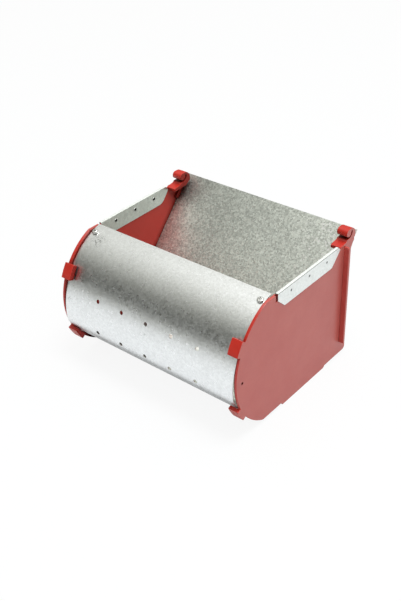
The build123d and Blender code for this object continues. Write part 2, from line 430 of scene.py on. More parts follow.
def make_sheet():
    """The trough, bent from one sheet, with its punched holes."""
    here, facing = polar(ARC_CENTER, FRONT_RADIUS, FRONT_START), FRONT_START
    sheet = start("trough_sheet", (-SHEET_HALF, *here))
    run(2 * SHEET_HALF, 0, 0)
    bpy.ops.mesh.select_all(action="SELECT")
    bpy.ops.mesh.subdivide(number_cuts=round(2 * SHEET_HALF / SHEET_GRID) - 1)
    for step in (*FRONT_RUN, (FLOOR_LENGTH,), BACK_BEND, (BACK_LENGTH,)):
        if len(step) == 1:
            count = max(1, round(step[0] / SHEET_GRID))
            ahead = polar((0, 0), step[0] / count, facing + 90)
            for _ in range(count):
                run(0, *ahead)
        else:
            radius, degrees = step
            count = max(BEND_STEPS_LEAST, round(radius * math.radians(degrees) / SHEET_GRID))
            turn(polar(here, -radius, facing), degrees, count)
        here, facing = after(here, facing, step)
    panel_foot_y = sheet_end((*FRONT_RUN, (FLOOR_LENGTH,), BACK_BEND))[0]

    def panel_side(edge, side):
        ends = [sheet.data.vertices[index].co for index in edge.vertices]
        at_side = all(abs(end.x - side * SHEET_HALF * MM) < MERGE_GAP * MM for end in ends)
        return at_side and min(end.y for end in ends) > (panel_foot_y - MERGE_GAP) * MM

    for side in (-1, 1):
        pick(sheet, "EDGE", lambda edge: panel_side(edge, side))
        run(side * (PANEL_HALF - SHEET_HALF), 0, 0)
    close_up(sheet)
    if sheet.data.polygons[0].normal.z < 0:
        bpy.ops.object.mode_set(mode="EDIT")
        bpy.ops.mesh.flip_normals()
        bpy.ops.object.mode_set(mode="OBJECT")

    waves = bpy.data.textures.new("sheet_waves", "CLOUDS")
    waves.noise_scale = WAVE_SPAN * MM
    waves.noise_depth = 1
    apply_modifier(sheet, "DISPLACE", texture=waves, strength=SHEET_WAVE * MM, mid_level=WAVE_LEVEL)
    apply_modifier(sheet, "SOLIDIFY", thickness=SHEET * MM, offset=-1.0)
    rows = [(row, facing, HOLE_XS, HOLE_RADIUS) for row, facing in HOLE_ROWS]
    screw_row = polar(ARC_CENTER, FRONT_RADIUS, SCREW_ANGLE)
    rows.append((screw_row, SCREW_ANGLE, (-SCREW_X, SCREW_X), SCREW_HOLE_RADIUS))
    for row, facing, xs, radius in rows:
        tilt = (math.radians(facing - 90), 0, 0)
        punches = cones("punches", [(x, *row) for x in xs], (radius, radius), PUNCH_LENGTH, tilt)
        combine(sheet, punches, "DIFFERENCE")
    return sheet


def cheek_outline():
    """The outline of a cheek's side plate."""
    nose_center = (NOSE_Y - NOSE_ROUND, TOP_EDGE_Z - NOSE_ROUND)
    arc_angle = 180 - math.degrees(math.asin((TOP_EDGE_Z - ARC_CENTER[1]) / ARC_RADIUS))
    skirt_center_z = SKIRT_Z + SKIRT_ROUND
    skirt_reach = ARC_RADIUS - SKIRT_ROUND
    skirt_drop = ARC_CENTER[1] - skirt_center_z
    skirt_center = (ARC_CENTER[0] - math.sqrt(skirt_reach**2 - skirt_drop**2), skirt_center_z)
    skirt_angle = 180 + math.degrees(math.asin(skirt_drop / skirt_reach))
    heel_center = (HEEL_Y - HEEL_ROUND, HEEL_Z + HEEL_ROUND)
    return [
        (NOSE_Y, NOTCH_Z),
        (NOSE_Y, nose_center[1]),
        (nose_center, 90.0),
        polar(ARC_CENTER, ARC_RADIUS, arc_angle),
        (ARC_CENTER, skirt_angle - arc_angle),
        (skirt_center, 270 - skirt_angle),
        (FOOT_FRONT_Y - FOOT_RAMP, SKIRT_Z),
        (FOOT_FRONT_Y, 0.0),
        (FOOT_REAR_Y, 0.0),
        (FOOT_REAR_Y + FOOT_RAMP, HEEL_Z),
        (heel_center[0], HEEL_Z),
        (heel_center, 90.0),
        REAR_BEND,
        polar(HOOK_CENTER, HOOK_RADIUS, NAPE_ANGLE),
        (SLOT_FOOT_Y, SLOT_LOW_Z - SLOT_HEIGHT),
        (SLOT_LIP_Y, TAB_ROOT[1]),
        TAB_ROOT,
        (TOP_REAR_Y, TOP_EDGE_Z),
        (NOTCH_REAR_Y, TOP_EDGE_Z),
        (NOTCH_REAR_Y, NOTCH_Z),
    ]


def hook_outline():
    """The outline of the hook, with its tab in front and the wire slot that curls up behind the bulb."""
    slot_end = polar(BULB_CENTER, BULB_RADIUS + SLOT_HEIGHT / 2, SLOT_CURL - 90.0)
    return [
        (TAB_FRONT_Y, TAB_TOP_Z),
        TAB_RISE,
        (SLOT_LIP_Y, SLOT_LOW_Z),
        (BULB_CENTER[0], SLOT_LOW_Z),
        (BULB_CENTER, SLOT_CURL),
        (slot_end, 180.0),
        (BULB_CENTER, -SLOT_CURL),
        (BULB_CENTER, -180.0),
        (HOOK_CENTER[0], HOOK_CENTER[1] + HOOK_RADIUS),
        (HOOK_CENTER, THROAT_ANGLE - 90.0),
        THROAT_FOOT,
        (TAB_FRONT_Y, TAB_UNDER_Z),
    ]


def along_radius(low_r, high_r, width):
    """Corners (y, z) of a block that stands across the arc under the screw."""
    corners = ((low_r, -width / 2), (high_r, -width / 2), (high_r, width / 2), (low_r, width / 2))
    return [polar(polar(ARC_CENTER, r, SCREW_ANGLE), aside, SCREW_ANGLE + 90) for r, aside in corners]


def lip_outline():
    """Corners (y, z) of the lip in front of the back panel."""
    panel_top = sheet_end((*FRONT_RUN, (FLOOR_LENGTH,), BACK_BEND, (BACK_LENGTH,)))
    near, far = SHEET + LIP_GAP, SHEET + LIP_GAP + LIP_THICKNESS
    low, high = LIP_DROP + LIP_LENGTH, LIP_DROP
    uphill = BACK_BEND[1]
    corners = ((low, near), (high, near), (high, far), (low, far))
    return [polar(polar(panel_top, -drop, uphill), out, uphill + 90) for drop, out in corners]


def make_rib():
    """The stop rib outside the cheek, with a round top."""
    rib = box("rib", (SUNK_X, RIB_Y, RIB_LOW_Z), (RIB_OUT_X, RIB_Y + RIB_THICKNESS, RIB_TOP_Z))

    def top_corner(edge):
        ends = [rib.data.vertices[index].co for index in edge.vertices]
        return all(end.x > (RIB_OUT_X - NEAR) * MM and end.z > (RIB_TOP_Z - NEAR) * MM for end in ends)

    pick(rib, "EDGE", top_corner)
    bpy.ops.mesh.bevel(offset=RIB_ROUND * MM, segments=RIB_ROUND_SEGMENTS)
    bpy.ops.object.mode_set(mode="OBJECT")
    return soften(rib, SMALL_EDGE_ROUND)


def make_clip(first, tab_r):
    """A clip that grips the edge of the sheet, with its tab at a radius."""
    section = [
        (CLIP_INNER_X, tab_r),
        (RIM_INNER_X, tab_r),
        (RIM_INNER_X, CLIP_ROOT_R),
        (OUTER_X, CLIP_ROOT_R),
        (OUTER_X, CLIP_OUT_R),
        (CLIP_INNER_X, CLIP_OUT_R),
    ]
    return curved_bar("clip", section, first, CLIP_SWEEP)


def make_boss():
    """The round boss under the screw."""
    tilt = (math.radians(SCREW_ANGLE - 90), 0, 0)
    middle = polar(ARC_CENTER, BOSS_TOP_R - BOSS_DEPTH / 2, SCREW_ANGLE)
    return cones("boss", [(SCREW_X, *middle)], (BOSS_RADIUS, BOSS_RADIUS), BOSS_DEPTH, tilt)


def make_seat():
    """The seat under the floor and the back panel of the sheet."""
    floor_y, floor_z = sheet_end(FRONT_RUN)
    top = floor_z - SEAT_GAP
    bend_center = (floor_y + FLOOR_LENGTH, top + BACK_BEND[0] + SEAT_GAP)
    section = [(x, floor_y, z) for x, z in oblong((SEAT_INNER_X, top - SEAT_THICKNESS), (SUNK_X, top))]
    bend = (bend_center, BACK_BEND[1], SEAT_BEND_STEPS)
    rise = polar((0, 0), SEAT_RISE, BACK_BEND[1])
    return bar("seat", section, [(FLOOR_LENGTH, 0.0), bend, rise])


def make_cheek():
    """The moulded end on the +X side."""
    cheek = soften(plate("cheek_moulding_right", INNER_X, OUTER_X - INNER_X, cheek_outline()))
    rim_section = oblong((RIM_INNER_X, RIM_IN_R), (RIM_SUNK_X, RIM_OUT_R))
    rim = curved_bar("rim", rim_section, RIM_START, RIM_SWEEP)
    nose_rim = box("nose_rim", (RIM_INNER_X, *NOSE_RIM_LOW), (INNER_X + NEAR, *NOSE_RIM_HIGH))
    for form in (rim, nose_rim):
        combine(cheek, soften(form, RIM_EDGE_ROUND), "UNION")
    hook = plate("hook", HOOK_INNER_X, OUTER_X - HOOK_INNER_X, hook_outline())
    lip = plate("lip", LIP_INNER_X, SUNK_X - LIP_INNER_X, lip_outline())
    for form in (hook, lip):
        combine(cheek, soften(form, SMALL_EDGE_ROUND), "UNION")
    combine(cheek, make_rib(), "UNION")
    clips = [make_clip(first, tab_r) for first, tab_r in CLIPS]
    ledge_section = oblong((LEDGE_INNER_X, LEDGE_IN_R), (SUNK_X, LEDGE_OUT_R))
    ledge = curved_bar("ledge", ledge_section, LEDGE_START, LEDGE_SWEEP)
    for form in (*clips, ledge, make_boss()):
        combine(cheek, soften(form, SMALL_EDGE_ROUND), "UNION")
    web_outline = along_radius(BOSS_TOP_R - BOSS_DEPTH + WEB_INSET, BOSS_TOP_R - WEB_INSET, WEB_THICKNESS)
    combine(cheek, plate("web", SCREW_X, SUNK_X - SCREW_X, web_outline), "UNION")
    combine(cheek, soften(make_seat(), SMALL_EDGE_ROUND), "UNION")
    pin_places = [(INNER_X, y, PIN_Z) for y in PIN_YS]
    for places, radius in ((pin_places, PIN_RADIUS), ([(INNER_X, *VENT)], VENT_RADIUS)):
        combine(cheek, cones("holes", places, (radius, radius), PIN_CUT_LENGTH, ACROSS), "DIFFERENCE")
    return cheek


def strip_outline():
    """The outline of the channel's inner leg, with its round tail."""
    tail_angle = math.atan2(STRIP_TAIL[1] - STRIP_LOW_Z, STRIP_TAIL[0] - STRIP_TAIL_FOOT_Y)
    round_start_y = STRIP_TAIL_FOOT_Y - STRIP_TAIL_ROUND * math.tan(tail_angle / 2)
    return [
        (STRIP_FRONT[0], STRIP_TOP_Z),
        STRIP_FRONT,
        (STRIP_LOW_FRONT_Y, STRIP_LOW_Z),
        (round_start_y, STRIP_LOW_Z),
        ((round_start_y, STRIP_LOW_Z + STRIP_TAIL_ROUND), math.degrees(tail_angle)),
        STRIP_TAIL,
        (STRIP_TOP_REAR_Y, STRIP_TOP_Z),
    ]


def make_strip():
    """The folded metal channel on the +X cheek."""
    width = STRIP_OUTER_X - STRIP_INNER_X
    strip = plate("edge_channel_right", STRIP_INNER_X, width, strip_outline())

    def end_face(face):
        return abs(face.normal.x) < SQUARE_ON and face.normal.z < SQUARE_ON

    def outer_leg(face):
        return face.normal.x > SQUARE_ON

    def fold_edge(edge):
        ends = [strip.data.vertices[index].co for index in edge.vertices]
        at_top = all(abs(end.z - STRIP_TOP_Z * MM) < MERGE_GAP * MM for end in ends)
        return at_top and abs(ends[0].y - ends[1].y) > MM

    pick(strip, "FACE", end_face)
    bpy.ops.mesh.delete(type="FACE")
    pick(strip, "FACE", outer_leg)
    rear_slope = (0, STRIP_TOP_Z - STRIP_LOW_Z, STRIP_LOW_REAR_Y - STRIP_TOP_REAR_Y)
    bpy.ops.mesh.bisect(
        plane_co=mm(STRIP_OUTER_X, STRIP_LOW_REAR_Y, STRIP_LOW_Z), plane_no=rear_slope, clear_outer=True
    )
    pick(strip, "EDGE", fold_edge)
    bpy.ops.mesh.bevel(offset=STRIP_FOLD_ROUND * MM, segments=STRIP_FOLD_SEGMENTS)
    bpy.ops.object.mode_set(mode="OBJECT")
    apply_modifier(strip, "SOLIDIFY", thickness=STRIP_SHEET * MM, offset=-1.0, use_even_offset=True)
    burr_x = STRIP_INNER_X + (STRIP_SHEET / 2 - BURR_RISE) / 2
    burr_depth = BURR_RISE + STRIP_SHEET / 2
    for name, x, radii, depth, operation in (
        ("burrs", burr_x, (BURR_FOOT_RADIUS, BURR_RADIUS), burr_depth, "UNION"),
        ("pierced", STRIP_INNER_X, (PIERCED_RADIUS, PIERCED_RADIUS), PIERCED_CUT_LENGTH, "DIFFERENCE"),
        ("dimples", STRIP_OUTER_X, (DIMPLE_RADIUS / 2, DIMPLE_RADIUS), 2 * DIMPLE_DEPTH, "DIFFERENCE"),
    ):
        combine(strip, cones(name, [(x, y, PIN_Z) for y in PIN_YS], radii, depth, ACROSS), operation)
    return strip


def make_screw(name, x):
    """A pan-head screw with a cross recess, turned into its place."""
    screw = start(name, (0, 0, HEAD_HEIGHT))
    rise = HEAD_HEIGHT - HEAD_ROUND
    profile = [(HEAD_RADIUS - HEAD_ROUND, HEAD_HEIGHT)]
    for degrees in HEAD_ROUND_ANGLES:
        profile.append(polar((HEAD_RADIUS - HEAD_ROUND, rise), HEAD_ROUND, degrees))
    profile += [(HEAD_RADIUS, 0), (SHANK_RADIUS, 0)]
    profile += [(SHANK_RADIUS, SHANK_TIP - SHANK_LENGTH), (0, -SHANK_LENGTH)]
    here = (0, HEAD_HEIGHT)
    for point in profile:
        run(point[0] - here[0], 0, point[1] - here[1])
        here = point
    bpy.ops.mesh.select_all(action="SELECT")
    bpy.ops.mesh.spin(steps=SCREW_SIDES, angle=math.radians(360), center=(0, 0, 0), axis=(0, 0, 1))
    close_up(screw)
    half, deep = RECESS_SPAN / 2, HEAD_HEIGHT - RECESS_DEPTH
    for long_x, long_y in ((half, RECESS_WIDTH / 2), (RECESS_WIDTH / 2, half)):
        slot = box("recess", (-long_x, -long_y, deep), (long_x, long_y, HEAD_HEIGHT + CUT_PAST))
        combine(screw, slot, "DIFFERENCE")
    place = polar(ARC_CENTER, FRONT_RADIUS, SCREW_ANGLE)
    tilt = Matrix.Rotation(math.radians(SCREW_ANGLE - 90), 4, "X")
    spun = Matrix.Rotation(math.radians(RECESS_TURN), 4, "Z")
    screw.matrix_world = Matrix.Translation(mm(x, *place)) @ tilt @ spun
    bpy.ops.object.select_all(action="DESELECT")
    screw.select_set(True)
    bpy.context.view_layer.objects.active = screw
    bpy.ops.object.transform_apply(location=True, rotation=True, scale=True)
    return screw


# Finishes: lengths in millimetres, ranges as (low, high), limits as (where full, where none)

HALF = (0.5, 0.5, 0.5)
MARK_CORE = 0.4
# How fast the painted shade in gaps and corners builds up
SHADE_BUILD_UP = 1.4
# Heights where the painted shade low inside is full and where it ends
SHADE_HEIGHT = (30.0, 85.0)

# Zinc of the sheet, the strips and the screws
SHEET_ZINC = {"grain_mm": 1.8, "colour": (0.865, 0.88, 0.885), "rough": (0.27, 0.4)}
STRIP_ZINC = {"grain_mm": 1.8, "colour": (0.8, 0.828, 0.81), "rough": (0.28, 0.42)}
SCREW_ZINC = {"grain_mm": 1.2, "colour": (0.8, 0.8, 0.78), "rough": (0.18, 0.28)}
STRIP_STREAKS = (1, 0.12, 1)
GRAIN_TONE = (0.93, 1.04)
# Darker grain tones inside the trough: painted shade
GRAIN_TONE_INSIDE = (0.62, 1.05)
GRAIN_WOBBLE = 1.6
CRYSTAL_SIZE = 0.65
CRYSTAL_TILT = 0.1
STAIN_SIZE = 45.0
STAIN_TONE = (0.95, 1.04)
DRAWN_SIZE = 3.0
DRAWN_STRENGTH = 0.12
DRAWN_HEIGHT = 0.1
# A yellow-green painted shade tint inside the trough, and how much rougher it is there
INSIDE_SHADE_TINT = (0.98, 1.01, 0.945)
INSIDE_ROUGHER = 0.16
# Painted shade in the zinc's gaps and corners: its reach and its darkest tone
ZINC_SHADE_REACH = 1.2
ZINC_SHADE_DARK = 0.6

# Painted shade on the sheet, low inside the trough and on outside faces that look down; inside, it falls
# by a rate per metre of x to the right of a left limit, both set below
TROUGH_MIDDLE = (0.0, -20.0, 85.0)
LOW_INSIDE_SHADE = 0.1
SHADE_FADE_ACROSS = 1.7
SHADE_LEFT_X = -45.0
UNDERSIDE_SHADE = 0.2
UNDERSIDE_FACING = (-0.55, -0.1)
SMUDGE_FLECK = 1.7
FLECK_LIMITS = (0.62, 0.5)

# Painted shade between the strips' legs and along the crease under the fold, and a painted highlight on
# the fold itself, which is also rougher and less metallic
FOLD_SHADE = 0.9
CREASE_SHADE = 0.5
CREASE_LIMITS = (0.3, 0.7)
FOLD_HIGHLIGHT_DEPTH = 0.2
FOLD_HIGHLIGHT = 1.15
FOLD_HIGHLIGHT_ROUGHER = 0.3
FOLD_HIGHLIGHT_METALLIC = 0.6

# Marks on the zinc as (x, y, z, radius, strength): painted shade inside the trough and under the left
# hook, painted light inside, smudges, painted shade in the strips' dimples
INSIDE_SHADE_SPOTS = (
    (-95.0, -58.0, 12.0, 72.0, 0.85),
    (-50.0, -82.0, 25.0, 32.0, 0.9),
    (106.0, -85.0, 28.5, 20.0, 0.9),
    (-120.0, 96.0, 134.0, 12.0, 0.4),
    (-100.0, 108.0, 150.0, 34.0, 0.15),
)
# Painted pools of light and painted reflection inside the trough
INSIDE_LIGHT_SPOTS = (
    (-101.0, 77.0, 116.0, 24.0, 0.18),
    (-92.0, 56.0, 93.0, 30.0, 0.17),
    (-5.0, 55.0, 92.0, 50.0, 0.06),
    (-44.0, -22.5, 12.7, 24.0, 0.4),
    (-4.0, -22.0, 12.8, 24.0, 0.25),
)
SMUDGES = (
    (-104.0, -66.5, 145.6, 11.0, 0.5),
    (-115.0, -109.6, 86.7, 4.5, 0.35),
    (0.6, -109.5, 87.0, 1.6, 0.6),
    (20.6, -109.6, 86.7, 2.4, 0.3),
)
DIMPLE_SHADE = tuple((STRIP_OUTER_X, y, PIN_Z, 1.9, 0.9) for y in PIN_YS)

# Red: colours as (position, colour) stops, then its painted shade, its chalk, which also paints a sheen,
# its edge wear, which also paints edge highlights, and its gloss
RED_FRESH = ((0.3, (0.53, 0.024, 0.014)), (0.7, (0.58, 0.030, 0.018)))
# Chalky red, which also paints the sheen of reflected light on outer and downward faces
RED_CHALK_AND_SHEEN = ((0.3, (0.49, 0.10, 0.085)), (0.7, (0.52, 0.12, 0.10)))
# Paler red for worn edges, which also paints an edge highlight
RED_WORN_AND_LIT = (0.66, 0.16, 0.13, 1.0)
# Paler red round the nose
PALE_NOSE_RED = (0.57, 0.15, 0.135, 1.0)
RED_CLOUD = 30.0
# Painted shade on the red: in gaps and corners, low inside and on the inner ends
RED_SHADE_REACH = 8.0
RED_SHADE_DARK = 0.14
RED_LOW_INSIDE_SHADE = 0.4
INNER_ENDS_SHADE = 0.35
INNER_END_DEPTH = 0.2
SIDEWAYS = 0.8
RIB_FROM = 0.3
# Chalk and painted sheen on the rib and on faces that look down
RIB_CHALK_AND_SHEEN = 0.6
UNDERSIDE_CHALK_AND_SHEEN = 0.9
DOWNWARD_FACING = (-0.4, -0.2)
# Paler worn edges, which also paint edge highlights
EDGE_WEAR_AND_HIGHLIGHT = 0.8
WORN_AND_LIT_TURN = (0.8, 0.99)
WEAR_PATCH = 5.0
WEAR_SHARE = (0.2, 0.9)
RED_FLECK = 1.4
RED_FLECK_TONE = (0.94, 1.06)
RED_SHINE = 0.5
RED_GLOSS_PATCH = 8.0
RED_ROUGH = (0.28, 0.44)
UNDERSIDE_ROUGHER = 0.1
RED_SKIN = 0.9
RED_SKIN_STRENGTH = 0.15
RED_SKIN_HEIGHT = 0.05

# Marks on the red in the same way, on both cheeks: a paler nose, painted shade, lower clips kept free of
# painted shade, painted shade in the holes
NOSE_PALE_SPOTS = ((123.0, -56.0, 151.0, 22.0, 0.6),)
# Painted shade in spots on the inside, under the hooks and along the front
RED_SHADE_SPOTS = (
    (120.5, 88.0, 137.5, 15.0, 0.35),
    (121.4, -79.0, 14.0, 14.0, 0.9),
    (121.9, -109.5, 86.0, 30.0, 0.5),
)
# Lower clips kept free of painted shade
RED_UNSHADED_SPOTS = ((116.0, -105.0, 39.0, 26.0, 1.0),)
# Painted shade in the pin holes and the vent
PIN_HOLE_SHADE = tuple(((INNER_X + OUTER_X) / 2, y, PIN_Z, 4.0, 0.95) for y in PIN_YS)
VENT_HOLE_SHADE = ((OUTER_X, *VENT, 2.3, 0.85),)


def add_node(tree, kind, inputs=None, **settings):
    """A shader node with its settings, and its inputs set to values or linked to outputs."""
    made = tree.nodes.new(kind)
    for name, value in settings.items():
        setattr(made, name, value)
    for socket, value in (inputs or {}).items():
        if isinstance(value, bpy.types.NodeSocket):
            tree.links.new(value, made.inputs[socket])
        else:
            made.inputs[socket].default_value = value
    return made


def new_finish(name):
    """A new material with an empty node tree, and the object's own coordinates."""
    material = bpy.data.materials.new(name)
    material.use_nodes = True
    tree = material.node_tree
    tree.nodes.clear()
    place = add_node(tree, "ShaderNodeTexCoord").outputs["Object"]
    return material, tree, place


def add_shader(tree, inputs):
    """The shader of a finish and its way out."""
    shader = add_node(tree, "ShaderNodeBsdfPrincipled", inputs)
    add_node(tree, "ShaderNodeOutputMaterial", {"Surface": shader.outputs["BSDF"]})


def noise(tree, place, size_mm, detail=2.0, roughness=0.5):
    """Cloudy noise with features of about a size."""
    made = add_node(
        tree, "ShaderNodeTexNoise",
        {"Vector": place, "Scale": 1 / (size_mm * MM), "Detail": detail, "Roughness": roughness},
    )
    return made.outputs["Fac"]


def ramp(tree, value, stops):
    """A colour ramp from (position, colour) stops."""
    made = add_node(tree, "ShaderNodeValToRGB", {"Fac": value})
    for element, (position, colour) in zip(made.color_ramp.elements, stops):
        element.position = position
        element.color = (*colour, 1.0)
    return made.outputs["Color"]


def spread(tree, value, low, high):
    """A 0 to 1 value mapped to a range."""
    made = add_node(tree, "ShaderNodeMapRange", {"Value": value, "To Min": low, "To Max": high})
    return made.outputs["Result"]


def ramp_down(tree, value, full, none):
    """1 at one value, falling to 0 at another."""
    made = add_node(tree, "ShaderNodeMapRange", {"Value": value, "From Min": none, "From Max": full})
    return made.outputs["Result"]


def math_node(tree, operation, first, second=0.0):
    """One sum of two values."""
    return add_node(tree, "ShaderNodeMath", {0: first, 1: second}, operation=operation).outputs["Value"]


def vector_node(tree, operation, *vectors):
    """One sum of vectors: a value for a distance or dot product, else a vector."""
    made = add_node(tree, "ShaderNodeVectorMath", dict(enumerate(vectors)), operation=operation)
    return made.outputs["Value" if operation in ("DISTANCE", "DOT_PRODUCT") else "Vector"]


def product(tree, first, *others):
    """Values multiplied together."""
    for other in others:
        first = math_node(tree, "MULTIPLY", first, other)
    return first


def largest(tree, first, *others):
    """The largest of some values."""
    for other in others:
        first = math_node(tree, "MAXIMUM", first, other)
    return first


def remainder(tree, share):
    """What a share leaves of 1."""
    return math_node(tree, "SUBTRACT", 1.0, share)


def shaded(tree, colour, factor):
    """A colour made lighter or darker by a value."""
    made = add_node(tree, "ShaderNodeVectorMath", {0: colour, "Scale": factor}, operation="SCALE")
    return made.outputs["Vector"]


def mix_colours(tree, share, first, second):
    """A colour between two others."""
    made = add_node(tree, "ShaderNodeMix", {"Factor": share, "A": first, "B": second}, data_type="RGBA")
    return made.outputs["Result"]


def along(tree, place, axis):
    """One coordinate of a point."""
    return add_node(tree, "ShaderNodeSeparateXYZ", {"Vector": place}).outputs[axis]


def off_centre(tree, place):
    """How far a point is from the middle of the feeder, to either side."""
    return math_node(tree, "ABSOLUTE", along(tree, place, "X"))


def both_sides(tree, place):
    """A point brought over to the +X side."""
    made = add_node(
        tree, "ShaderNodeCombineXYZ",
        {"X": off_centre(tree, place), "Y": along(tree, place, "Y"), "Z": along(tree, place, "Z")},
    )
    return made.outputs["Vector"]


def surface_facing(tree):
    """The way that the surface faces."""
    return add_node(tree, "ShaderNodeNewGeometry").outputs["Normal"]


def spots(tree, place, marks):
    """How strong some soft round marks are at a point."""
    strongest = 0.0
    for *center, radius, strength in marks:
        apart = vector_node(tree, "DISTANCE", place, mm(*center))
        mark = ramp_down(tree, apart, MARK_CORE * radius * MM, radius * MM)
        strongest = largest(tree, product(tree, mark, strength), strongest)
    return strongest


def trough_marks(tree, place):
    """1 on faces that look into the trough; how much painted shade darkens the sheet, less where painted
    light lifts it, with smudges on the outside; and no painted fold highlight.
    """
    facing = surface_facing(tree)
    outward = vector_node(tree, "SUBTRACT", place, mm(*TROUGH_MIDDLE))
    inward = math_node(tree, "LESS_THAN", vector_node(tree, "DOT_PRODUCT", outward, facing), 0.0)
    deep = ramp_down(tree, along(tree, place, "Z"), *mm(*SHADE_HEIGHT))
    # Painted shade low inside the trough and in spots, lessened to the right and by painted pools of
    # light
    inside_shade = largest(tree, product(tree, deep, LOW_INSIDE_SHADE), spots(tree, place, INSIDE_SHADE_SPOTS))
    rightward = largest(tree, along(tree, place, "X"), SHADE_LEFT_X * MM)
    for lighter in (product(tree, rightward, SHADE_FADE_ACROSS), spots(tree, place, INSIDE_LIGHT_SPOTS)):
        inside_shade = math_node(tree, "SUBTRACT", inside_shade, lighter)
    # Painted shade on outside faces that look down, beside the smudges
    under = ramp_down(tree, along(tree, facing, "Z"), *UNDERSIDE_FACING)
    flecks = ramp_down(tree, noise(tree, place, SMUDGE_FLECK, detail=3.0), *FLECK_LIMITS)
    smudged = product(tree, spots(tree, place, SMUDGES), flecks)
    outer = largest(tree, smudged, product(tree, under, UNDERSIDE_SHADE))
    shade_and_smudge = add_node(tree, "ShaderNodeMix", {"Factor": inward, "A": outer, "B": inside_shade}, data_type="FLOAT")
    return inward, shade_and_smudge.outputs["Result"], 0.0


def strip_marks(tree, place):
    """Nothing in the trough; how much painted shade darkens the strip between its legs, at its crease and
    in its dots, and 1 on its top fold, which gets a painted highlight."""
    middle = (STRIP_INNER_X + STRIP_OUTER_X) / 2
    reach = (STRIP_OUTER_X - STRIP_INNER_X - STRIP_SHEET) / 2
    aside = off_centre(tree, place)
    height = along(tree, place, "Z")
    off_middle = math_node(tree, "ABSOLUTE", math_node(tree, "SUBTRACT", aside, middle * MM))
    between = math_node(tree, "LESS_THAN", off_middle, reach * MM)
    below = math_node(tree, "LESS_THAN", height, (STRIP_TOP_Z - STRIP_SHEET / 2) * MM)
    outside = math_node(tree, "GREATER_THAN", aside, (STRIP_OUTER_X - STRIP_SHEET / 2) * MM)
    below_fold = math_node(tree, "SUBTRACT", (STRIP_TOP_Z - STRIP_FOLD_ROUND) * MM, height)
    creased = ramp_down(tree, math_node(tree, "ABSOLUTE", below_fold), *mm(*CREASE_LIMITS))
    # Painted shade between the legs, along the crease under the fold and in the dimples
    dark = largest(
        tree,
        product(tree, between, below, FOLD_SHADE),
        product(tree, creased, outside, CREASE_SHADE),
        spots(tree, both_sides(tree, place), DIMPLE_SHADE),
    )
    # A painted highlight on the top fold, which is also rougher and less metallic
    lit_fold = math_node(tree, "GREATER_THAN", height, (STRIP_TOP_Z - FOLD_HIGHLIGHT_DEPTH) * MM)
    return 0.0, dark, lit_fold


def shade_in_gaps(tree, reach_mm, darkest):
    """Painted shade: 1 on open faces, darker in gaps and corners."""
    made = add_node(tree, "ShaderNodeAmbientOcclusion", {"Distance": reach_mm * MM}, samples=8)
    open_share = math_node(tree, "POWER", made.outputs["AO"], SHADE_BUILD_UP)
    return spread(tree, open_share, darkest, 1.0)


def tilted_crystals(tree, place):
    """The facing of the surface, turned a little in each fine crystal."""
    crystals = add_node(tree, "ShaderNodeTexVoronoi", {"Vector": place, "Scale": 1 / (CRYSTAL_SIZE * MM)})
    level = vector_node(tree, "SUBTRACT", crystals.outputs["Color"], HALF)
    turned = vector_node(tree, "MULTIPLY_ADD", level, (CRYSTAL_TILT,) * 3, surface_facing(tree))
    return vector_node(tree, "NORMALIZE", turned)


def spangle(tree, place, grain_mm):
    """Two values from 0 to 1 for each crystal grain, whose outlines are wavy."""
    wobble = add_node(
        tree, "ShaderNodeTexNoise",
        {"Vector": place, "Scale": 1 / (grain_mm * GRAIN_WOBBLE * MM), "Detail": 1.0},
    )
    centred = vector_node(tree, "SUBTRACT", wobble.outputs["Color"], HALF)
    shifted = vector_node(tree, "MULTIPLY_ADD", centred, (grain_mm * MM,) * 3, place)
    grain = add_node(tree, "ShaderNodeTexVoronoi", {"Vector": shifted, "Scale": 1 / (grain_mm * MM)})
    parts = add_node(tree, "ShaderNodeSeparateColor", {"Color": grain.outputs["Color"]}).outputs
    return parts["Red"], parts["Green"]


def bumpy(tree, height, strength, height_mm, facing=None):
    """The facing of the surface with a fine relief."""
    inputs = {"Strength": strength, "Distance": height_mm * MM, "Height": height}
    if facing is not None:
        inputs["Normal"] = facing
    return add_node(tree, "ShaderNodeBump", inputs).outputs["Normal"]


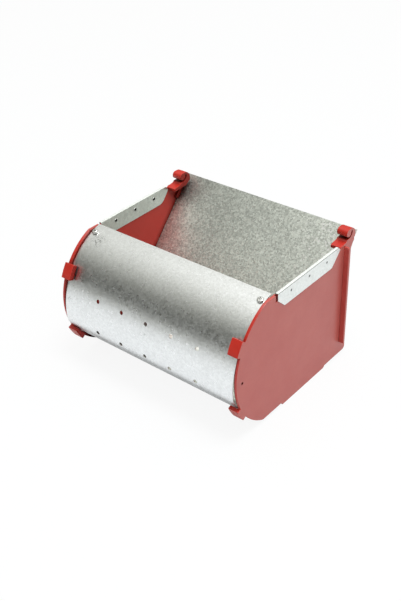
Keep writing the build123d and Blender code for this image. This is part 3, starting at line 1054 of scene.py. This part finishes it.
def zinc_finish(name, grain_mm, colour, rough, streaks=(1, 1, 1), marks=None):
    """Spangled zinc: crystal grains with their own tone and gloss, coarser and rougher on the inside,
    where painted shade darkens and tints them.
    """
    material, tree, place = new_finish(name)
    inward, shade_and_smudge, lit_fold = marks(tree, place) if marks else (0.0, 0.0, 0.0)
    grain_tone, grain_gloss = spangle(tree, place, grain_mm)
    # Inside the trough the grain tones are darker: painted shade
    darkest, lightest = [spread(tree, inward, *ends) for ends in zip(GRAIN_TONE, GRAIN_TONE_INSIDE)]
    stains = noise(tree, place, STAIN_SIZE, detail=4.0, roughness=0.6)
    # Painted shade in gaps and from the marks, and the painted highlight on the strips' top fold, set the
    # zinc's tone
    shade = product(
        tree,
        spread(tree, grain_tone, darkest, lightest),
        spread(tree, stains, *STAIN_TONE),
        remainder(tree, shade_and_smudge),
        shade_in_gaps(tree, ZINC_SHADE_REACH, ZINC_SHADE_DARK),
        spread(tree, lit_fold, 1.0, FOLD_HIGHLIGHT),
    )
    # The inside gets a yellow-green painted shade tint
    shade_tinted = [value * tint for value, tint in zip(colour, INSIDE_SHADE_TINT)]
    metal = mix_colours(tree, inward, (*colour, 1.0), (*shade_tinted, 1.0))
    gloss = spread(tree, grain_gloss, *rough)
    for share, rougher in ((inward, INSIDE_ROUGHER), (lit_fold, FOLD_HIGHLIGHT_ROUGHER)):
        gloss = math_node(tree, "ADD", gloss, product(tree, share, rougher))
    drawn = add_node(tree, "ShaderNodeMapping", {"Vector": place, "Scale": streaks}).outputs["Vector"]
    relief = noise(tree, drawn, DRAWN_SIZE, detail=3.0)
    add_shader(tree, {
        "Base Color": shaded(tree, metal, shade),
        "Metallic": spread(tree, lit_fold, 1.0, FOLD_HIGHLIGHT_METALLIC),
        "Roughness": gloss,
        "Normal": bumpy(tree, relief, DRAWN_STRENGTH, DRAWN_HEIGHT, tilted_crystals(tree, place)),
    })
    return material


def worn_and_lit_edges(tree, width_mm):
    """1 along the outer edges of a piece, fading to 0 over a width."""
    rounded = add_node(tree, "ShaderNodeBevel", {"Radius": width_mm * MM}, samples=6).outputs["Normal"]
    return ramp_down(tree, vector_node(tree, "DOT_PRODUCT", rounded, surface_facing(tree)), *WORN_AND_LIT_TURN)


def cheek_places(tree, place):
    """1 on each named part of a cheek, and 0 off it."""
    aside = off_centre(tree, place)
    facing = surface_facing(tree)
    sideways = math_node(tree, "GREATER_THAN", off_centre(tree, facing), SIDEWAYS)
    outermost = math_node(tree, "GREATER_THAN", aside, (OUTER_X - NEAR) * MM)
    innermost = math_node(tree, "LESS_THAN", aside, (CLIP_INNER_X + INNER_END_DEPTH) * MM)
    return {
        "outside": product(tree, outermost, sideways),
        "rib": math_node(tree, "GREATER_THAN", aside, (OUTER_X + RIB_FROM) * MM),
        "inside": math_node(tree, "LESS_THAN", aside, (INNER_X + NEAR) * MM),
        "inner_end": product(tree, innermost, sideways),
        "underside": ramp_down(tree, along(tree, facing, "Z"), *DOWNWARD_FACING),
    }


def red_tone(tree, place, mirrored, on):
    """The red: fresh inside; chalky outside and underneath, which also paints the sheen of reflected
    light; paler along worn edges, which also paints edge highlights, and paler round the nose.
    """
    cloud = noise(tree, place, RED_CLOUD, detail=3.0)
    # Chalky red outside and underneath: partly a weathered skin, partly a painted sheen of reflected
    # light
    chalk_and_sheen = largest(
        tree,
        on["outside"],
        product(tree, on["rib"], RIB_CHALK_AND_SHEEN),
        product(tree, on["underside"], UNDERSIDE_CHALK_AND_SHEEN),
    )
    tone = mix_colours(tree, chalk_and_sheen, ramp(tree, cloud, RED_FRESH), ramp(tree, cloud, RED_CHALK_AND_SHEEN))
    patchy = spread(tree, noise(tree, place, WEAR_PATCH, detail=3.0), *WEAR_SHARE)
    # Paler red along edges: wear and a painted edge highlight
    tone = mix_colours(tree, product(tree, worn_and_lit_edges(tree, EDGE_WEAR_AND_HIGHLIGHT), patchy), tone, RED_WORN_AND_LIT)
    # Paler red round the nose, off the outer face
    nose = product(tree, remainder(tree, on["outside"]), spots(tree, mirrored, NOSE_PALE_SPOTS))
    return mix_colours(tree, nose, tone, PALE_NOSE_RED)


def red_unshaded_share(tree, place, mirrored, on):
    """1 where the red has no painted shade, less in gaps and corners, low inside, on the inner ends, in
    spots and in the holes.
    """
    # Painted shade is kept off the outside, the rib and the lower clips
    clips = spots(tree, mirrored, RED_UNSHADED_SPOTS)
    kept_unshaded = largest(tree, on["outside"], on["rib"], clips)
    # Painted shade in gaps and corners
    unshaded = largest(tree, shade_in_gaps(tree, RED_SHADE_REACH, RED_SHADE_DARK), kept_unshaded)
    deep = ramp_down(tree, along(tree, place, "Z"), *mm(*SHADE_HEIGHT))
    # Painted shade low inside, on the inner ends, in spots and in the holes
    for darker in (
        product(tree, deep, on["inside"], RED_LOW_INSIDE_SHADE, remainder(tree, clips)),
        product(tree, on["inner_end"], INNER_ENDS_SHADE),
        product(tree, spots(tree, mirrored, RED_SHADE_SPOTS), on["inside"]),
        spots(tree, mirrored, PIN_HOLE_SHADE + VENT_HOLE_SHADE),
    ):
        unshaded = product(tree, unshaded, remainder(tree, darker))
    return unshaded


def red_finish():
    """Moulded red plastic with a fine skin and slightly uneven gloss."""
    material, tree, place = new_finish("red_moulding")
    mirrored = both_sides(tree, place)
    on = cheek_places(tree, place)
    unshaded = red_unshaded_share(tree, place, mirrored, on)
    fleck = spread(tree, noise(tree, place, RED_FLECK), *RED_FLECK_TONE)
    gloss = spread(tree, noise(tree, place, RED_GLOSS_PATCH, detail=4.0), *RED_ROUGH)
    add_shader(tree, {
        "Base Color": shaded(tree, red_tone(tree, place, mirrored, on), product(tree, fleck, unshaded)),
        # Painted shade also takes away the shine
        "Specular IOR Level": spread(tree, unshaded, 0.0, RED_SHINE),
        "Roughness": math_node(tree, "ADD", gloss, product(tree, on["underside"], UNDERSIDE_ROUGHER)),
        "Normal": bumpy(tree, noise(tree, place, RED_SKIN), RED_SKIN_STRENGTH, RED_SKIN_HEIGHT),
    })
    return material


# Studio, in metres; the focal length and the picture's height are in pixels

WHITE = (1.0, 1.0, 1.0, 1.0)
FLOOR_SPAN = 6.0
FLOOR_TONE = (0.83, 0.85, 0.88, 1.0)
FLOOR_WHITE_SEEN = 0.9
FLOOR_WHITE_GLOSS = 0.22
LAMP_SIZE = 0.8
LAMP_PLACE = (0.5, 0.0, 2.4)
LAMP_AIM = (0.0, 0.0, 0.08)
LAMP_POWER = 29.0
SKY_TOP = Vector((0.09, 0.15, 0.98)).normalized()
SKY_TOP_TINT = (1.0, 1.0, 0.99, 1.0)
SKY_LOW_TINT = (1.0, 1.01, 0.88, 1.0)
SKY_LOW = 0.03
SKY_RISE = 1.45
SKY_FALLOFF = 1.9
SWEEP_TOP = 0.12
SWEEP_GLOW = 0.6
CAMERA_PLACE = (0.54987, -0.64515, 0.64294)
CAMERA_AIM = (0.00421, -0.02092, 0.08383)
CAMERA_ROLL = -2.5935
FOCAL_PIXELS = 890.082
IMAGE_HEIGHT = 601
SENSOR = 36.0


def turn_towards(place, aim):
    """The rotation of a lamp or camera that looks from one point to another."""
    return (Vector(aim) - Vector(place)).to_track_quat("-Z", "Y")


def white_share(tree):
    """How much of the floor's plain white shows: most to the camera, some in gloss, none as light."""
    path = add_node(tree, "ShaderNodeLightPath").outputs
    clear = largest(tree, path["Is Glossy Ray"], path["Is Transmission Ray"])
    seen = product(tree, path["Is Camera Ray"], FLOOR_WHITE_SEEN)
    return largest(tree, seen, product(tree, clear, FLOOR_WHITE_GLOSS))


def make_floor():
    """A plain white floor that keeps a faint shadow."""
    bpy.ops.object.select_all(action="DESELECT")
    bpy.ops.mesh.primitive_plane_add(size=FLOOR_SPAN)
    floor = bpy.context.object
    floor.name = "studio_floor"
    material = bpy.data.materials.new("studio_white")
    material.use_nodes = True
    tree = material.node_tree
    tree.nodes.clear()
    matt = add_node(tree, "ShaderNodeBsdfDiffuse", {"Color": FLOOR_TONE})
    white = add_node(tree, "ShaderNodeEmission", {"Color": WHITE, "Strength": 1.0})
    mixed = add_node(
        tree, "ShaderNodeMixShader",
        {0: white_share(tree), 1: matt.outputs["BSDF"], 2: white.outputs["Emission"]},
    )
    add_node(tree, "ShaderNodeOutputMaterial", {"Surface": mixed.outputs["Shader"]})
    floor.data.materials.append(material)


def make_world():
    """A soft ceiling that fades towards dim walls with a pale foot, and white behind the object."""
    world = bpy.data.worlds.new("studio")
    bpy.context.scene.world = world
    world.use_nodes = True
    tree = world.node_tree
    tree.nodes.clear()
    direction = add_node(tree, "ShaderNodeTexCoord").outputs["Generated"]
    above = largest(tree, vector_node(tree, "DOT_PRODUCT", direction, SKY_TOP), 0.0)
    fade = math_node(tree, "POWER", above, SKY_FALLOFF)
    ceiling = math_node(tree, "ADD", product(tree, fade, SKY_RISE), SKY_LOW)
    sweep = ramp_down(tree, along(tree, direction, "Z"), 0.0, SWEEP_TOP)
    light = math_node(tree, "ADD", ceiling, product(tree, sweep, SWEEP_GLOW))
    tint = mix_colours(tree, fade, SKY_LOW_TINT, SKY_TOP_TINT)
    room = add_node(tree, "ShaderNodeBackground", {"Color": tint, "Strength": light})
    white = add_node(tree, "ShaderNodeBackground", {"Color": WHITE, "Strength": 1.0})
    camera_ray = add_node(tree, "ShaderNodeLightPath").outputs["Is Camera Ray"]
    mixed = add_node(
        tree, "ShaderNodeMixShader",
        {0: camera_ray, 1: room.outputs["Background"], 2: white.outputs["Background"]},
    )
    add_node(tree, "ShaderNodeOutputWorld", {"Surface": mixed.outputs["Shader"]})


def make_lamp():
    """A large soft lamp overhead."""
    bpy.ops.object.select_all(action="DESELECT")
    bpy.ops.object.light_add(type="AREA", location=LAMP_PLACE)
    lamp = bpy.context.object
    lamp.data.shape = "SQUARE"
    lamp.data.size = LAMP_SIZE
    lamp.data.energy = LAMP_POWER
    lamp.rotation_euler = turn_towards(LAMP_PLACE, LAMP_AIM).to_euler()


def make_camera():
    """The camera at the photograph's place."""
    data = bpy.data.cameras.new("camera")
    camera = bpy.data.objects.new("camera", data)
    bpy.context.scene.collection.objects.link(camera)
    data.sensor_fit = "VERTICAL"
    data.sensor_height = SENSOR
    data.sensor_width = SENSOR
    data.lens = FOCAL_PIXELS / IMAGE_HEIGHT * SENSOR
    turned = turn_towards(CAMERA_PLACE, CAMERA_AIM).to_matrix().to_4x4()
    roll = Matrix.Rotation(math.radians(CAMERA_ROLL), 4, "Z")
    camera.matrix_world = Matrix.Translation(CAMERA_PLACE) @ turned @ roll
    bpy.context.scene.camera = camera


# Build

galvanised = zinc_finish("galvanised_sheet", **SHEET_ZINC, marks=trough_marks)
strip_zinc = zinc_finish("galvanised_strip", **STRIP_ZINC, streaks=STRIP_STREAKS, marks=strip_marks)
screw_zinc = zinc_finish("zinc_screw", **SCREW_ZINC)
red = red_finish()

trough_sheet = make_sheet()
right_cheek = make_cheek()
left_cheek = twin(right_cheek, "cheek_moulding_left")
right_strip = make_strip()
left_strip = twin(right_strip, "edge_channel_left")
right_screw = make_screw("pan_screw_right", SCREW_X)
left_screw = make_screw("pan_screw_left", -SCREW_X)

finish_piece(trough_sheet, "trough", galvanised)
finish_piece(right_cheek, "right_cheek", red)
finish_piece(left_cheek, "left_cheek", red)
finish_piece(right_strip, "right_edge_strip", strip_zinc)
finish_piece(left_strip, "left_edge_strip", strip_zinc)
finish_piece(right_screw, "screws", screw_zinc)
finish_piece(left_screw, "screws", screw_zinc)

make_floor()
make_world()
make_lamp()
make_camera()
bpy.context.scene.view_settings.view_transform = "Standard"
